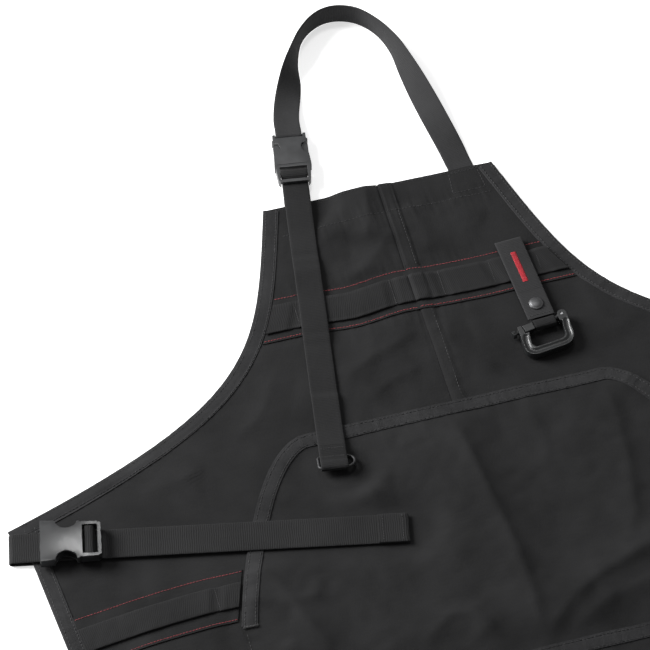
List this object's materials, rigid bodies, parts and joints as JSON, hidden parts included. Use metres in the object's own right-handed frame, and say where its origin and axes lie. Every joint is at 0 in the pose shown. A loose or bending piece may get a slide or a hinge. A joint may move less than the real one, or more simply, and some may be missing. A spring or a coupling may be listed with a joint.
{
  "type": "artist smock apron",
  "caption": "Canvas artist's work apron lying flat on its back, with webbing tool loops, a hand-warmer pocket, a key tab with a locking ring, a buckled neck strap and a buckled waist belt.",
  "frame": {"origin": "on the back of the centre seam, at the height of the waist corners; the apron lies on its back on the plane Z = 0", "axes": "+X towards the picture's right side of the apron, +Y towards the neck strap, +Z out of the apron's front"},
  "size_m": [0.9058, 1.0588, 0.0251],
  "materials": {
    "canvas": "heavy matt black cotton canvas, plain weave",
    "binding": "matt black cotton tape, twill, topstitched",
    "webbing": "ribbed charcoal polyester webbing, slight sheen",
    "plastic": "moulded dark grey acetal, semi-gloss",
    "red_thread": "red embroidery and topstitching thread",
    "steel": "bright nickel-plated steel"
  },
  "bodies": {
    "apron": {"main_panel_right": "canvas", "main_panel_left": "canvas", "top_hem_facing": "canvas", "bottom_hem": "canvas", "chest_base_strip": "canvas", "hip_base_strip_right": "canvas", "hip_base_strip_left": "canvas", "pocket_panel": "canvas", "lower_pocket_panel": "canvas", "centre_seam_tape": "binding", "armhole_binding_right": "binding", "armhole_binding_left": "binding", "side_binding_right": "binding", "side_binding_left": "binding", "pocket_top_binding": "binding", "pocket_side_binding_right": "binding", "pocket_side_binding_left": "binding", "lower_pocket_binding": "binding", "chest_webbing": "webbing", "hip_webbing_right": "webbing", "hip_webbing_left": "webbing", "key_tab_back": "webbing", "snap_stud": "steel", "snap_back_rivet": "steel", "neck_strap": "webbing", "neck_socket": "plastic", "neck_load_webbing": "webbing", "waist_strap": "webbing", "plug_tab_webbing": "webbing"},
    "key_flap": {"key_tab_flap": "webbing", "key_label": "red_thread", "snap_cap": "steel", "snap_socket": "steel"},
    "ring_gate_body": {"ring_gate": "plastic", "ring_pivot_pin": "steel", "ring_plunger_spring": "steel"},
    "ring_bow_body": {"ring_bow": "plastic"},
    "ring_plunger_body": {"ring_plunger": "plastic"},
    "neck_plug_body": {"neck_plug": "plastic", "neck_strap_tail": "webbing"},
    "neck_prong_left_body": {"neck_prong_left": "plastic"},
    "neck_prong_right_body": {"neck_prong_right": "plastic"},
    "tail_ring_body": {"tail_d_ring": "steel"},
    "waist_socket_body": {"waist_socket": "plastic", "waist_strap_bight": "webbing"},
    "waist_plug_body": {"waist_plug": "plastic"},
    "waist_prong_left_body": {"waist_prong_left": "plastic"},
    "waist_prong_right_body": {"waist_prong_right": "plastic"}
  },
  "joints": [
    {"name": "key_flap_open", "type": "hinge", "parent": "apron", "child": "key_flap", "pos_m": [0.1, 0.202, 0.00685], "axis": [-0.9982, -0.0593, 0], "range_deg": [0, 150]},
    {"name": "ring_swing", "type": "hinge", "parent": "apron", "child": "ring_gate_body", "pos_m": [0.104, 0.103, 0.0094], "axis": [-0.9816, -0.1908, 0], "range_deg": [0, 110]},
    {"name": "ring_bow_open", "type": "hinge", "parent": "ring_gate_body", "child": "ring_bow_body", "pos_m": [0.12363, 0.10682, 0.0094], "axis": [0, 0, 1], "range_deg": [0, 30]},
    {"name": "ring_plunger_pull", "type": "slide", "parent": "ring_gate_body", "child": "ring_plunger_body", "axis": [-0.9816, -0.1908, 0], "range_m": [0, 0.004], "stiffness_N_per_m": 60, "deforming": ["ring_plunger_spring"]},
    {"name": "neck_plug_release", "type": "slide", "parent": "apron", "child": "neck_plug_body", "axis": [-0.1478, -0.989, 0], "range_m": [0, 0.025], "deforming": ["neck_load_webbing", "neck_prong_left", "neck_prong_right"]},
    {"name": "neck_prong_right_pinch", "type": "hinge", "parent": "neck_plug_body", "child": "neck_prong_right_body", "pos_m": [-0.0599, 0.3383, 0.009], "axis": [0, 0, 1], "range_deg": [0, 8], "stiffness_Nm_per_rad": 0.02},
    {"name": "neck_prong_left_pinch", "type": "hinge", "parent": "neck_plug_body", "child": "neck_prong_left_body", "pos_m": [-0.0861, 0.3423, 0.009], "axis": [0, 0, -1], "range_deg": [0, 8], "stiffness_Nm_per_rad": 0.02},
    {"name": "tail_ring_shift", "type": "slide", "parent": "neck_plug_body", "child": "tail_ring_body", "axis": [0.989, -0.1478, 0], "range_m": [-0.0025, 0]},
    {"name": "waist_socket_adjust", "type": "slide", "parent": "apron", "child": "waist_socket_body", "axis": [0.9799, -0.1994, 0], "range_m": [0, 0.22]},
    {"name": "waist_plug_swing", "type": "hinge", "parent": "apron", "child": "waist_plug_body", "pos_m": [0.43158, 0.00119, 0.00819], "axis": [0.1994, -0.9799, 0], "range_deg": [0, 60]},
    {"name": "waist_prong_right_pinch", "type": "hinge", "parent": "waist_plug_body", "child": "waist_prong_right_body", "pos_m": [0.4454, -0.0131, 0.0072], "axis": [0, 0, 1], "range_deg": [0, 8], "stiffness_Nm_per_rad": 0.03},
    {"name": "waist_prong_left_pinch", "type": "hinge", "parent": "waist_plug_body", "child": "waist_prong_left_body", "pos_m": [0.4387, 0.0198, 0.0072], "axis": [0, 0, -1], "range_deg": [0, 8], "stiffness_Nm_per_rad": 0.03}
  ],
  "couplings": [
    {"joint": "neck_prong_left_pinch", "follows": "neck_prong_right_pinch", "ratio": 1},
    {"joint": "waist_prong_left_pinch", "follows": "waist_prong_right_pinch", "ratio": 1}
  ]
}
